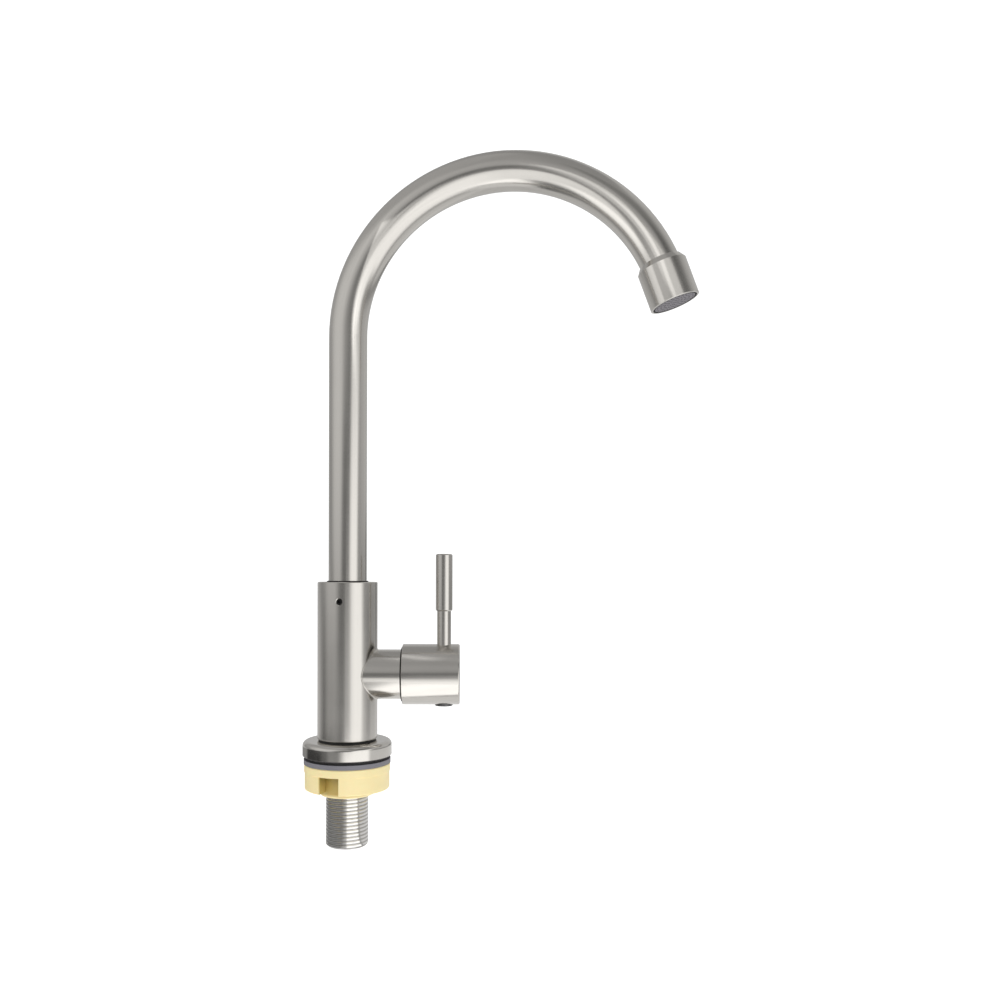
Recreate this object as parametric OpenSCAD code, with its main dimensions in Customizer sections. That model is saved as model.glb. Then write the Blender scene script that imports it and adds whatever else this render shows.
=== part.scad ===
// Gooseneck bar faucet: one cold inlet, a swivelling spout and a quarter-turn lever valve.
// Millimetres. +Z is up and +X is the side that the valve points to. The origin is on the axis
// of the body, at the deck: the underside of the gasket, which rests on the worktop.

/* [Spout] */
// Outside diameter of the spout tube
spout_d = 19; // [17:0.5:21]
// Wall of the spout tube
spout_wall = 1.2; // [0.8:0.1:2]
// Straight length of tube above the rim of the body
spout_rise = 121.5; // [40:0.5:200]
// Bend radius of the gooseneck, on the tube's axis
bend_r = 80; // [60:1:120]
// Angle that the gooseneck turns through
bend_sweep = 160; // [120:1:180]
// Angle from the valve's side to the spout, towards the front, as it stands
spout_swing = 6; // [-90:1:90]

/* [Spout socket] */
// Depth of tube below the rim of the body
tube_sunk = 6; // [5:0.5:7]
// Diameter of the adapter that turns in the socket
adapter_d = 22; // [22:0.1:23]
// Depth of the adapter's end below the rim
adapter_depth = 30; // [28:0.5:33]
// Height of the adapter's spigot inside the tube
adapter_spigot_h = 10; // [4:1:16]
// Bore of the adapter
adapter_bore_d = 13; // [10:0.5:14]
// Depth of the groove that the retaining screw runs in
keeper_groove_depth = 1.2; // [0.8:0.1:1.5]
// Width of that groove
keeper_groove_w = 3.6; // [3:0.1:4]
// Depth of the lower end of the upper seal groove below the rim
seal_drop = 18.2; // [16:0.2:19]
// Distance from one spout seal to the next
seal_spacing = 7; // [4:0.5:8]
// Depth of a spout seal groove
seal_groove_depth = 1.55; // [1.2:0.05:1.8]
// Width of a spout seal groove
seal_groove_w = 2.4; // [2:0.1:3]
// Height of the slip ring's lip above the rim
slip_lip_h = 0.5; // [0.3:0.1:1]
// Width of the slip ring's lip
slip_lip_w = 0.7; // [0.4:0.1:0.9]

/* [Retaining screw] */
// Diameter of the retaining screw
keeper_d = 3; // [2.5:0.1:3.2]
// Diameter of its dog point
keeper_tip_d = 2.2; // [1.5:0.1:2.4]
// Depth of the screw below the rim
keeper_drop = 9.6; // [9.4:0.1:10.4]
// Depth of its end below the body's surface
keeper_recess = 0.9; // [0.5:0.1:1.2]
// Bearing of the screw, counted to the left of the front
keeper_bearing = 9; // [-60:1:60]
// Width across the flats of its hexagon socket
keeper_key = 1.5; // [1.2:0.1:1.8]

/* [Body] */
// Diameter of the body
body_d = 29.8; // [29:0.1:34]
// Height of the body
body_h = 77.9; // [74:0.1:120]
// Chamfer on the rim and the foot of the body
body_chamfer = 0.4; // [0.2:0.1:1]
// Height of the valve's axis above the foot of the body
valve_rise = 31.9; // [28:0.1:34]
// Diameter of the valve neck
neck_d = 24.6; // [23.6:0.1:27]
// Reach of the valve neck from the body's axis
neck_reach = 27; // [26:0.5:40]
// Diameter of the inlet passage inside the body
inlet_passage_d = 11; // [8:0.5:12]
// Depth of the thread in the foot of the body
foot_thread_depth = 15.6; // [10:0.1:17]
// Wall between the inlet passage and the valve chamber
seat_wall = 2.5; // [2:0.1:3]
// Diameter of the hole in the valve seat
seat_hole_d = 8; // [6:0.5:8]
// Diameter of the valve chamber
chamber_d = 18.6; // [18:0.1:20]
// Diameter of each passage from the chamber up to the spout
riser_d = 4.6; // [3:0.1:4.6]
// Angle from one riser to the next
riser_step = 38; // [34:1:45]

/* [Valve insert] */
// Diameter of the insert's thread
insert_d = 20.6; // [20:0.1:21]
// Diameter of the insert's nose
nose_d = 16; // [15.6:0.1:17]
// Diameter of the cavity that holds the discs
disc_cavity_d = 14.1; // [13.5:0.1:14.4]
// Thickness of the fixed disc
fixed_disc_h = 2.6; // [2:0.1:3]
// Thickness of the turning disc
turning_disc_h = 2.5; // [2:0.1:3]
// Radius on which the ports of the fixed disc lie
port_r = 4.1; // [3.8:0.1:4.2]
// Diameter of a port
port_d = 4; // [3:0.1:4.2]
// Thickness of the seat seal
seat_seal_h = 2.3; // [2:0.1:3]
// Thickness of the insert's flange
insert_flange_h = 2; // [1.5:0.1:2.5]
// Diameter of the insert's flange
insert_flange_d = 23.6; // [22:0.1:24]
// Width across the flats of the insert's hexagon
insert_key = 17; // [15:0.5:18]
// Height of the insert's hexagon
insert_hex_h = 4; // [3:0.5:5]
// Length of the insert's sleeve
sleeve_h = 4.6; // [3:0.1:5]
// Diameter of the insert's sleeve
sleeve_d = 14; // [11:0.5:14.5]
// Width of a window in the nose
window_w = 8; // [5:0.5:9]
// Section of the seal ring on the insert's thread
insert_seal_d = 1.25; // [1:0.05:1.4]

/* [Spindle] */
// Diameter of the spindle
spindle_d = 8; // [7:0.1:8.4]
// Thickness of the spindle's flange
spindle_flange_h = 1.2; // [1:0.1:1.6]
// Width of the tang that drives the turning disc
tang_w = 3; // [2:0.1:3.6]
// Height of the tang
tang_h = 1.4; // [1:0.1:1.6]
// Depth of a seal groove on the spindle
spindle_groove_depth = 1.2; // [0.8:0.05:1.4]
// Number of splines
spline_count = 16; // [8:1:20]
// Depth of a spline's groove
spline_depth = 0.5; // [0.3:0.1:0.7]
// Thickness of the retaining clip
clip_h = 0.8; // [0.6:0.1:1]
// Width of the retaining clip's ring
clip_w = 2.4; // [1.6:0.1:2.6]
// Thickness of the thrust washer
thrust_h = 0.4; // [0.3:0.1:0.8]

/* [Handle] */
// Diameter of the handle's hub
hub_d = 30; // [29.6:0.1:34]
// Length of the hub
hub_l = 28.4; // [27:0.1:34]
// Gap between the neck and the hub
hub_gap = 0.6; // [0.5:0.1:1.5]
// Wall of the hub's skirt
hub_wall = 2; // [1.5:0.1:2.4]
// Solid end of the hub
hub_end_h = 3.4; // [2:0.1:4]
// Rounding of the hub's outer edge
hub_round = 0.7; // [0.4:0.1:2]
// Distance from the hub's end to the lever
lever_inset = 7.9; // [7.6:0.1:9]
// Diameter of the lever's rod
lever_rod_d = 7; // [5.6:0.1:7.4]
// Diameter of the lever's grip
lever_grip_d = 8.4; // [7.6:0.1:10]
// Height of the grip's lower end above the valve's axis
grip_rise = 31.5; // [22:0.5:50]
// Length of the grip
grip_l = 28.5; // [12:0.5:60]
// Chamfer at the ends of the grip
grip_chamfer = 0.6; // [0.3:0.1:1]
// Diameter of the lever's threaded end
lever_thread_d = 5; // [4:0.1:5.2]
// Diameter of the plug under the hub
plug_d = 9; // [8:0.1:10]
// Height that the plug stands proud
plug_proud = 0.6; // [0.4:0.1:1.6]
// Diameter of the hub's clamping screw
clamp_screw_d = 5; // [4:0.1:5]
// Length of the clamping screw
clamp_screw_l = 5; // [4:0.5:5.5]
// Width across the flats of its hexagon socket
clamp_screw_key = 2.5; // [2:0.1:2.6]
// Diameter of the glide ring's collar
glide_collar_d = 26.8; // [26:0.1:28]
// Depth of the glide ring inside the hub
glide_depth = 2.8; // [1.5:0.1:3]

/* [Base] */
// Diameter of the base flange
flange_d = 44.2; // [44:0.2:60]
// Height of the base flange
flange_h = 8.2; // [7:0.1:12]
// Rounding of the flange's upper edge
flange_round = 2.4; // [1:0.1:4]
// Chamfer of the flange's lower edge
flange_chamfer = 1; // [0.3:0.1:1]
// Thickness of the ring between flange and body
foot_ring_h = 0.6; // [0.4:0.1:1]
// Outside diameter of that ring
foot_ring_d = 28.4; // [26:0.1:28.6]
// Outside diameter of the gasket
gasket_d = 41; // [36:0.5:42]
// Width of the gasket's ring
gasket_w = 5.5; // [3:0.5:7]
// Thickness of the gasket
gasket_h = 2; // [1.5:0.1:3]
// Height that the gasket stands proud of the flange
gasket_proud = 0.6; // [0.4:0.1:1]

/* [Shank] */
// Outside diameter of the shank's pipe thread
thread_d = 20.955; // [20.4:0.005:21.4]
// Pitch of the thread
thread_pitch = 1.814; // [1.4:0.001:2.4]
// Depth of the thread
thread_depth = 1.162; // [0.8:0.001:1.3]
// Length of shank below the deck
shank_below = 43.5; // [34:0.5:70]
// Bore of the shank
shank_bore_d = 15; // [12:0.5:16]
// Chamfer at the shank's lower end
shank_chamfer = 0.9; // [0.4:0.1:1.1]
// Thickness of the seal above the shank
shank_seal_h = 1.2; // [0.8:0.1:2]

/* [Washer and nut] */
// Outside diameter of the clamp washer
washer_d = 43; // [38:0.5:48]
// Thickness of the clamp washer
washer_h = 2.2; // [1.5:0.1:4]
// Space between the deck and the clamp washer, as it stands
deck_space = 0.3; // [0.2:0.1:10]
// Step from the washer's edge in to the nut's disc
nut_step = 0.2; // [0:0.1:2]
// Height of the nut
nut_h = 15.4; // [14:0.1:20]
// Thickness of the nut's disc
nut_disc_h = 4; // [2.5:0.1:5]
// Depth of the nut's lugs, from the top of its disc
lug_h = 12.6; // [8:0.1:13.5]
// Step from the disc's edge in to the lugs
lug_step = 0.3; // [0:0.1:1]
// Diameter of the nut's core
nut_core_d = 28; // [26:0.1:32]
// Width of a notch between the lugs
notch_w = 10.6; // [6:0.1:14]
// Number of notches
notch_count = 2; // [1:1:5]
// Bearing of the first notch, counted to the left of the front
notch_bearing = 19; // [-180:1:180]
// Rounding of the nut's edges
nut_round = 0.8; // [0.3:0.1:1.2]

/* [Aerator] */
// Diameter of the aerator's shell
shell_d = 24; // [23.6:0.1:27]
// Wall of the shell
shell_wall = 0.8; // [0.8:0.1:1.2]
// Length of the shell's straight side
shell_l = 18.5; // [17:0.1:24]
// Length of the shell's sloping shoulder
shoulder_l = 2.7; // [1.5:0.1:3]
// Distance from the end of the bend to the mouth of the shell
mouth_l = 15; // [14:0.1:20]
// Length of the threaded nipple
nipple_l = 9.5; // [6:0.1:10]
// Length of the nipple's spigot inside the tube
nipple_spigot_l = 5; // [3:0.5:6]
// Thickness of the aerator's washer
aerator_washer_h = 1.5; // [1:0.1:2]
// Thickness of the diffuser
diffuser_h = 1.2; // [0.8:0.1:1.5]
// Thickness of the screen
screen_h = 0.6; // [0.4:0.1:0.8]
// Wall of the cage
cage_wall = 1.1; // [0.8:0.1:1.4]
// Rings of holes in the screen
screen_rings = 5; // [2:1:5]

/* [Fits] */
// Radial gap of a part that turns in a bore
running_gap = 0.05; // [0.02:0.01:0.08]
// Radial gap of a part that passes over another
loose_gap = 0.3; // [0.2:0.05:0.5]
// Gap left at the end of a part that turns
end_gap = 0.2; // [0.1:0.05:0.3]

/* [Hidden] */
$fn = 96;
overcut = 1;

// Small edges, laps and steps that many pieces share
edge_break = 0.2;
edge_chamfer = 0.4;
thread_lead_in = 0.5;
joint_lap = 0.1;
seal_ease = 0.02;
lip_h = 0.5;

// Heights, from the deck up
flange_z = gasket_proud;
flange_top_z = flange_z + flange_h;
body_z = flange_top_z + foot_ring_h;
rim_z = body_z + body_h;
valve_z = body_z + valve_rise;
bend_z = rim_z + spout_rise;
foot_thread_z = body_z + foot_thread_depth;
washer_z = -deck_space - washer_h;
nut_z = washer_z - running_gap;

// Spout and its socket
spout_r = spout_d / 2;
spout_bore_r = spout_r - spout_wall;
adapter_r = adapter_d / 2;
socket_r = adapter_r + running_gap;
socket_z = rim_z - adapter_depth - end_gap;
adapter_top_z = rim_z - tube_sunk;
adapter_chamfer = 0.8;
body_r = body_d / 2;

// Retaining screw, out from the body's axis
keeper_z = rim_z - keeper_drop;
keeper_start = socket_r + 0.15;
keeper_end = body_r - keeper_recess;
keeper_tip = adapter_r - keeper_groove_depth + end_gap;
keeper_key_depth = 1.3;
keeper_sink_depth = 0.3;
keeper_sink_lap = 0.15;

// Places along the valve's axis, from the body's axis out
seat_x = inlet_passage_d / 2 + seat_wall;
fixed_disc_x = seat_x + seat_seal_h;
turning_disc_x = fixed_disc_x + fixed_disc_h;
spindle_x = turning_disc_x + turning_disc_h;
thrust_x = spindle_x + spindle_flange_h;
cavity_x = thrust_x + thrust_h;
chamber_x = spindle_x + 1.1;
nose_x = seat_x + 1;
riser_x = seat_x + riser_d / 2 - 1.7;
riser_z = valve_z + 6.5;
inlet_passage_top_z = valve_z + seat_hole_d / 2 + 0.5;
neck_x = neck_reach;
hex_x = neck_x + insert_flange_h;
sleeve_x = hex_x + insert_hex_h;
clip_x = sleeve_x + sleeve_h + 0.1;
hub_x = neck_x + hub_gap;
hub_end_x = hub_x + hub_l;
hub_cavity_x = clip_x + clip_h + 0.5;
spindle_hole_x = hub_end_x - hub_end_h;
spindle_end_x = spindle_hole_x - 0.6;
lever_x = hub_end_x - lever_inset;

// Radii around the valve's axis
insert_r = insert_d / 2;
spindle_r = spindle_d / 2;
spindle_bore_r = spindle_r + running_gap;
disc_r = disc_cavity_d / 2 - running_gap;
hub_r = hub_d / 2;
hub_cavity_r = hub_r - hub_wall;
insert_groove_x = neck_x - 2;
insert_groove_r = insert_r - insert_seal_d - seal_ease;
insert_groove_play = 0.3;
window_over = 0.4;
spindle_groove_r = spindle_r - spindle_groove_depth;
spindle_groove_w = 1.8;
spindle_seal_x = [cavity_x + 3, cavity_x + 7];
clip_groove_r = spindle_r - 0.8;
clip_opening = 2;
cutout_edge = 1.5;
grip_r = lever_grip_d / 2;
lever_seat_r = hub_r - 1.5;
lever_thread_l = 8;
plug_seat_r = hub_r - 2.4;
plug_top_r = hub_r + plug_proud;
plug_round = 0.5;
plug_stem_l = 2;
plug_stem_d = clamp_screw_d - 0.2;
clamp_key_depth = 2;

// Shank, washer and nut
shank_r = thread_d / 2;
shank_root_r = shank_r - thread_depth;
shank_top_z = foot_thread_z - shank_seal_h;
shank_bore_r = shank_bore_d / 2;
shank_seal_step = 0.3;
shank_seal_set_back = 0.5;
// A thread groove's outline, as shares of the pitch: where it falls, its floor, where it rises
groove_floor = 0.30;
groove_rise = 0.45;
groove_end = 0.75;
flange_bore_r = shank_r + loose_gap;
washer_bore_r = shank_r + 2 * loose_gap;
nut_bore_r = shank_r + 2 * running_gap;
nut_r = washer_d / 2 - nut_step;
lug_r = nut_r - lug_step;

// Aerator, measured from the end of the bend along the outflow
shell_r = shell_d / 2;
shell_bore_r = shell_r - shell_wall;
shell_s = mouth_l - shell_l;
shell_lip_w = 0.25;
shell_mouth_r = shell_bore_r - shell_lip_w;
shoulder_edge_w = 0.4;
nipple_bore_r = spout_bore_r - 1;
nipple_spigot_r = spout_bore_r - 0.2;
cage_s = nipple_l + aerator_washer_h;
cage_end_s = mouth_l - lip_h;
cage_r = shell_bore_r - running_gap;
cage_bore_r = cage_r - cage_wall;
cage_nose_r = shell_mouth_r - running_gap;
cage_ledge_w = 0.3;
face_inset = 0.1;
face_s = mouth_l - face_inset;
screen_r = cage_bore_r - running_gap;
screen_s = face_s - screen_h;
screen_hole_d = 0.9;
screen_hole_step = 1.8;
diffuser_hole_d = 1.2;
diffuser_hole_r = screen_r * 0.75;
diffuser_hole_count = 18;

// A hollow cylinder on the axis
module ring(outer_r, inner_r, h)
    rotate_extrude()
        translate([inner_r, 0])
            square([outer_r - inner_r, h]);

// A solid cylinder with a chamfer at its foot and at its top
module turned(r, h, foot = 0, top = 0)
    rotate_extrude()
        polygon([[0, 0], [r - foot, 0], [r, foot], [r, h - top], [r - top, h], [0, h]]);

// A solid cylinder whose upper edge is rounded
module rounded(r, h, fillet)
    rotate_extrude()
        union() {
            square([r - fillet, h]);
            square([r, h - fillet]);
            translate([r - fillet, h - fillet])
                circle(fillet);
        }

// A seal ring of round section
module o_ring(inner_r, section_d)
    rotate_extrude()
        translate([inner_r + section_d / 2, 0])
            circle(d = section_d);

// A hexagonal prism, given by the width across its flats
module hexagon(width, h)
    cylinder(d = width / cos(30), h = h, $fn = 6);

// Turns the axis of what follows to lie along the valve, x from the body's axis
module on_valve(x)
    translate([x, 0, valve_z])
        rotate([0, 90, 0])
            children();

// Places what follows on a radius of the body, pointing out, counted to the left of the front
module on_bearing(bearing, z)
    translate([0, 0, z])
        rotate([0, 90, -90 - bearing])
            children();

// Turns what follows with the spout
module on_spout()
    rotate(-spout_swing)
        children();

// Places what follows at the end of the bend, s along the outflow
module on_outlet(s = 0)
    on_spout()
        translate([bend_r, 0, bend_z])
            rotate([0, bend_sweep, 0])
                translate([-bend_r, 0, s])
                    children();

// ---- Spout ----

module spout_tube()
    color([0.74, 0.72, 0.69])
        on_spout() {
            translate([0, 0, adapter_top_z])
                ring(spout_r, spout_bore_r, bend_z - adapter_top_z);
            translate([bend_r, 0, bend_z])
                rotate([90, 0, 180])
                    rotate_extrude(angle = bend_sweep)
                        translate([bend_r, 0])
                            difference() {
                                circle(spout_r);
                                circle(spout_bore_r);
                            }
        }

module spout_adapter()
    color([0.76, 0.62, 0.36])
        difference() {
            union() {
                translate([0, 0, rim_z - adapter_depth])
                    turned(adapter_r, adapter_depth - tube_sunk, foot = adapter_chamfer, top = edge_break);
                translate([0, 0, adapter_top_z])
                    cylinder(r = spout_bore_r, h = adapter_spigot_h);
            }
            translate([0, 0, rim_z - adapter_depth - overcut])
                cylinder(d = adapter_bore_d, h = adapter_depth + adapter_spigot_h + 2 * overcut);
            translate([0, 0, keeper_z - keeper_groove_w / 2])
                ring(adapter_r + overcut, adapter_r - keeper_groove_depth, keeper_groove_w);
            for (i = [0, 1])
                translate([0, 0, rim_z - seal_drop - i * seal_spacing])
                    ring(adapter_r + overcut, adapter_r - seal_groove_depth, seal_groove_w);
        }

module spout_seals()
    color([0.12, 0.12, 0.12])
        for (i = [0, 1])
            translate([0, 0, rim_z - seal_drop - i * seal_spacing + seal_groove_w / 2])
                o_ring(adapter_r - seal_groove_depth, seal_groove_depth + running_gap - seal_ease);

module slip_ring()
    color([0.16, 0.16, 0.16]) {
        translate([0, 0, adapter_top_z + end_gap])
            ring(socket_r, spout_r + 2 * running_gap, tube_sunk - end_gap);
        translate([0, 0, rim_z])
            ring(spout_r + slip_lip_w, spout_r + 2 * running_gap, slip_lip_h);
    }

module retaining_screw()
    color([0.45, 0.45, 0.46])
        on_bearing(keeper_bearing, keeper_z)
            difference() {
                union() {
                    translate([0, 0, keeper_start])
                        turned(keeper_d / 2, keeper_end - keeper_start, top = edge_break);
                    translate([0, 0, keeper_tip])
                        cylinder(d = keeper_tip_d, h = keeper_start + joint_lap - keeper_tip);
                }
                translate([0, 0, keeper_end - keeper_key_depth])
                    hexagon(keeper_key, keeper_key_depth + overcut);
            }

// ---- Body and base ----

module valve_body()
    color([0.72, 0.70, 0.67])
        difference() {
            union() {
                translate([0, 0, body_z])
                    turned(body_r, body_h, foot = body_chamfer, top = body_chamfer);
                on_valve(0)
                    turned(neck_d / 2, neck_x, top = edge_break);
            }
            body_passages();
            on_bearing(keeper_bearing, keeper_z) {
                cylinder(d = keeper_d, h = body_r + overcut);
                translate([0, 0, body_r - keeper_sink_depth])
                    cylinder(
                        d1 = keeper_d,
                        d2 = keeper_d + 2 * (keeper_sink_depth + keeper_sink_lap),
                        h = keeper_sink_depth + keeper_sink_lap
                    );
            }
        }

// The bores and passages inside the body
module body_passages() {
    translate([0, 0, socket_z])
        cylinder(r = socket_r, h = rim_z - socket_z + overcut);
    translate([0, 0, body_z - overcut])
        cylinder(r = shank_r, h = foot_thread_depth + overcut);
    translate([0, 0, foot_thread_z - overcut])
        cylinder(d = inlet_passage_d, h = inlet_passage_top_z - foot_thread_z + overcut);
    on_valve(0)
        cylinder(d = seat_hole_d, h = seat_x + overcut);
    on_valve(seat_x)
        cylinder(d = chamber_d, h = neck_x - seat_x - overcut);
    on_valve(chamber_x)
        cylinder(r = insert_r, h = neck_x - chamber_x + overcut);
    for (side = [-1:1])
        rotate(side * riser_step)
            translate([riser_x, 0, riser_z])
                cylinder(d = riser_d, h = socket_z - riser_z + overcut);
}

module foot_ring()
    color([0.1, 0.1, 0.1])
        translate([0, 0, flange_top_z])
            ring(foot_ring_d / 2, flange_bore_r, foot_ring_h);

module base_flange()
    color([0.66, 0.64, 0.62])
        translate([0, 0, flange_z])
            difference() {
                intersection() {
                    rounded(flange_d / 2, flange_h, flange_round);
                    turned(flange_d / 2, flange_h, foot = flange_chamfer);
                }
                translate([0, 0, -overcut])
                    cylinder(r = flange_bore_r, h = flange_h + 2 * overcut);
                translate([0, 0, -overcut])
                    ring(gasket_d / 2, gasket_d / 2 - gasket_w, gasket_h - gasket_proud + overcut);
            }

module deck_gasket()
    color([0.08, 0.08, 0.08])
        ring(gasket_d / 2, gasket_d / 2 - gasket_w, gasket_h);

// ---- Shank, washer and nut ----

// Outline of the threaded stretch: a groove for each turn, from low to high
function thread_outline(low_z, turns) =
    [for (i = [0:turns - 1])
        for (p = [[0, 0], [groove_floor, thread_depth], [groove_rise, thread_depth], [groove_end, 0]])
            [shank_r - p[1], low_z + (i + p[0]) * thread_pitch]];

module threaded_shank() {
    low_z = shank_chamfer - shank_below;
    turns = floor((body_z - low_z) / thread_pitch);
    color([0.70, 0.68, 0.66])
        rotate_extrude()
            polygon(concat(
                [[shank_bore_r, -shank_below], [shank_r - shank_chamfer, -shank_below]],
                thread_outline(low_z, turns),
                [[shank_r, shank_top_z], [shank_bore_r, shank_top_z]]
            ));
}

module shank_seal()
    color([0.2, 0.2, 0.2])
        translate([0, 0, shank_top_z])
            ring(shank_r - shank_seal_step, shank_bore_r + shank_seal_set_back, shank_seal_h);

module clamp_washer()
    color([0.40, 0.40, 0.43])
        translate([0, 0, washer_z])
            ring(washer_d / 2, washer_bore_r, washer_h);

module lock_nut()
    color([0.93, 0.86, 0.62])
        translate([0, 0, nut_z])
            mirror([0, 0, 1])
                difference() {
                    union() {
                        turned(nut_r, nut_disc_h, foot = edge_chamfer, top = edge_break);
                        difference() {
                            rounded(lug_r, lug_h, nut_round);
                            for (i = [0:notch_count - 1])
                                rotate(-90 - notch_bearing + i * 360 / notch_count)
                                    translate([0, -notch_w / 2, nut_disc_h])
                                        cube([2 * nut_r, notch_w, nut_h]);
                        }
                        turned(nut_core_d / 2, nut_h, top = nut_round);
                    }
                    translate([0, 0, -overcut])
                        cylinder(r = nut_bore_r, h = nut_h + 2 * overcut);
                }

// ---- Valve insert ----

module valve_insert()
    color([0.80, 0.66, 0.38])
        difference() {
            union() {
                on_valve(nose_x)
                    cylinder(d = nose_d, h = chamber_x - nose_x + joint_lap);
                on_valve(chamber_x)
                    cylinder(r = insert_r, h = neck_x - chamber_x);
                on_valve(neck_x)
                    cylinder(d = insert_flange_d, h = insert_flange_h);
                on_valve(hex_x)
                    hexagon(insert_key, insert_hex_h);
                on_valve(sleeve_x)
                    turned(sleeve_d / 2, sleeve_h, top = edge_chamfer);
            }
            on_valve(nose_x - overcut)
                cylinder(d = disc_cavity_d, h = cavity_x - nose_x + overcut);
            on_valve(cavity_x - overcut)
                cylinder(r = spindle_bore_r, h = clip_x - cavity_x + 2 * overcut);
            on_valve(insert_groove_x)
                ring(insert_r + overcut, insert_groove_r, insert_seal_d + insert_groove_play);
            on_valve(turning_disc_x)
                translate([-window_w / 2, -nose_d, 0])
                    cube([window_w, 2 * nose_d, turning_disc_h + window_over]);
        }

module insert_seal()
    color([0.12, 0.12, 0.12])
        on_valve(insert_groove_x + (insert_seal_d + insert_groove_play) / 2)
            o_ring(insert_groove_r, insert_seal_d);

module seat_seal()
    color([0.14, 0.14, 0.14])
        on_valve(seat_x)
            ring(disc_r, seat_hole_d / 2, seat_seal_h);

module fixed_disc()
    color([0.93, 0.92, 0.89])
        on_valve(fixed_disc_x)
            difference() {
                cylinder(r = disc_r, h = fixed_disc_h);
                for (side = [-1, 1])
                    translate([0, side * port_r, -overcut])
                        cylinder(d = port_d, h = fixed_disc_h + 2 * overcut);
            }

module turning_disc()
    color([0.86, 0.85, 0.83])
        on_valve(turning_disc_x)
            difference() {
                cylinder(r = disc_r, h = turning_disc_h);
                for (turn = [0, 180])
                    rotate(turn - 45)
                        translate([cutout_edge, cutout_edge, -overcut])
                            cube([disc_r, disc_r, turning_disc_h + 2 * overcut]);
                translate([-tang_w / 2 - running_gap, -disc_r - overcut, turning_disc_h - tang_h])
                    cube([tang_w + 2 * running_gap, 2 * (disc_r + overcut), tang_h + overcut]);
            }

module spindle()
    color([0.78, 0.64, 0.37]) {
        difference() {
            union() {
                on_valve(spindle_x)
                    cylinder(r = disc_r, h = spindle_flange_h);
                on_valve(thrust_x)
                    turned(spindle_r, spindle_end_x - thrust_x, top = edge_chamfer);
            }
            for (x = spindle_seal_x)
                on_valve(x)
                    ring(spindle_r + overcut, spindle_groove_r, spindle_groove_w);
            on_valve(clip_x)
                ring(spindle_r + overcut, clip_groove_r, clip_h);
            on_valve(hub_cavity_x)
                for (i = [0:spline_count - 1])
                    rotate(i * 360 / spline_count)
                        translate([spindle_r - spline_depth, 0, 0])
                            rotate(-45)
                                cube([1, 1, hub_l]);
        }
        intersection() {
            on_valve(spindle_x - tang_h + end_gap)
                translate([-tang_w / 2, -disc_r, 0])
                    cube([tang_w, 2 * disc_r, tang_h - end_gap + joint_lap]);
            on_valve(turning_disc_x)
                cylinder(r = disc_r - 2 * running_gap, h = spindle_end_x - turning_disc_x);
        }
    }

module spindle_seals()
    color([0.12, 0.12, 0.12])
        for (x = spindle_seal_x)
            on_valve(x + spindle_groove_w / 2)
                o_ring(spindle_groove_r, spindle_groove_depth + running_gap - seal_ease);

module spindle_clip()
    color([0.55, 0.55, 0.56])
        on_valve(clip_x)
            difference() {
                ring(clip_groove_r + clip_w, clip_groove_r, clip_h);
                translate([0, -clip_opening / 2, -overcut])
                    cube([spindle_d, clip_opening, clip_h + 2 * overcut]);
            }

module thrust_washer()
    color([0.90, 0.90, 0.88])
        on_valve(thrust_x)
            ring(disc_r, spindle_bore_r + end_gap, thrust_h);

module glide_ring()
    color([0.10, 0.10, 0.10]) {
        on_valve(neck_x)
            ring(glide_collar_d / 2, insert_flange_d / 2 + running_gap, hub_gap - 2 * running_gap);
        on_valve(neck_x)
            ring(hub_cavity_r - running_gap, insert_flange_d / 2 + running_gap, hub_gap + glide_depth);
    }

// ---- Handle ----

module handle_hub()
    color([0.73, 0.71, 0.68])
        difference() {
            on_valve(hub_x)
                intersection() {
                    rounded(hub_r, hub_l, hub_round);
                    turned(hub_r, hub_l, foot = edge_break);
                }
            on_valve(hub_x - overcut)
                cylinder(r = hub_cavity_r, h = hub_cavity_x - hub_x + overcut);
            on_valve(hub_x)
                cylinder(r = spindle_r, h = spindle_hole_x - hub_x);
            translate([lever_x, 0, valve_z]) {
                cylinder(d = lever_thread_d, h = hub_r);
                translate([0, 0, lever_seat_r])
                    cylinder(d = lever_rod_d, h = hub_r);
                mirror([0, 0, 1])
                    cylinder(d = clamp_screw_d, h = hub_r);
                translate([0, 0, -plug_seat_r])
                    mirror([0, 0, 1])
                        cylinder(d = plug_d, h = hub_r);
            }
        }

module lever()
    color([0.70, 0.69, 0.67])
        translate([lever_x, 0, valve_z]) {
            translate([0, 0, lever_seat_r - lever_thread_l])
                turned(lever_thread_d / 2, lever_thread_l + joint_lap, foot = thread_lead_in);
            translate([0, 0, lever_seat_r])
                cylinder(d = lever_rod_d, h = grip_rise - lever_seat_r + joint_lap);
            translate([0, 0, grip_rise])
                turned(grip_r, grip_l, foot = grip_chamfer, top = grip_chamfer);
        }

module clamp_screw()
    color([0.35, 0.35, 0.36])
        translate([lever_x, 0, valve_z - spindle_r])
            mirror([0, 0, 1])
                difference() {
                    turned(clamp_screw_d / 2, clamp_screw_l, foot = thread_lead_in, top = edge_break);
                    translate([0, 0, clamp_screw_l - clamp_key_depth])
                        hexagon(clamp_screw_key, clamp_key_depth + overcut);
                }

module hub_plug()
    color([0.18, 0.18, 0.19])
        translate([lever_x, 0, valve_z - plug_seat_r])
            mirror([0, 0, 1]) {
                rounded(plug_d / 2, plug_top_r - plug_seat_r, plug_round);
                translate([0, 0, -plug_stem_l])
                    cylinder(d = plug_stem_d, h = plug_stem_l + joint_lap);
            }

// ---- Aerator ----

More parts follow.
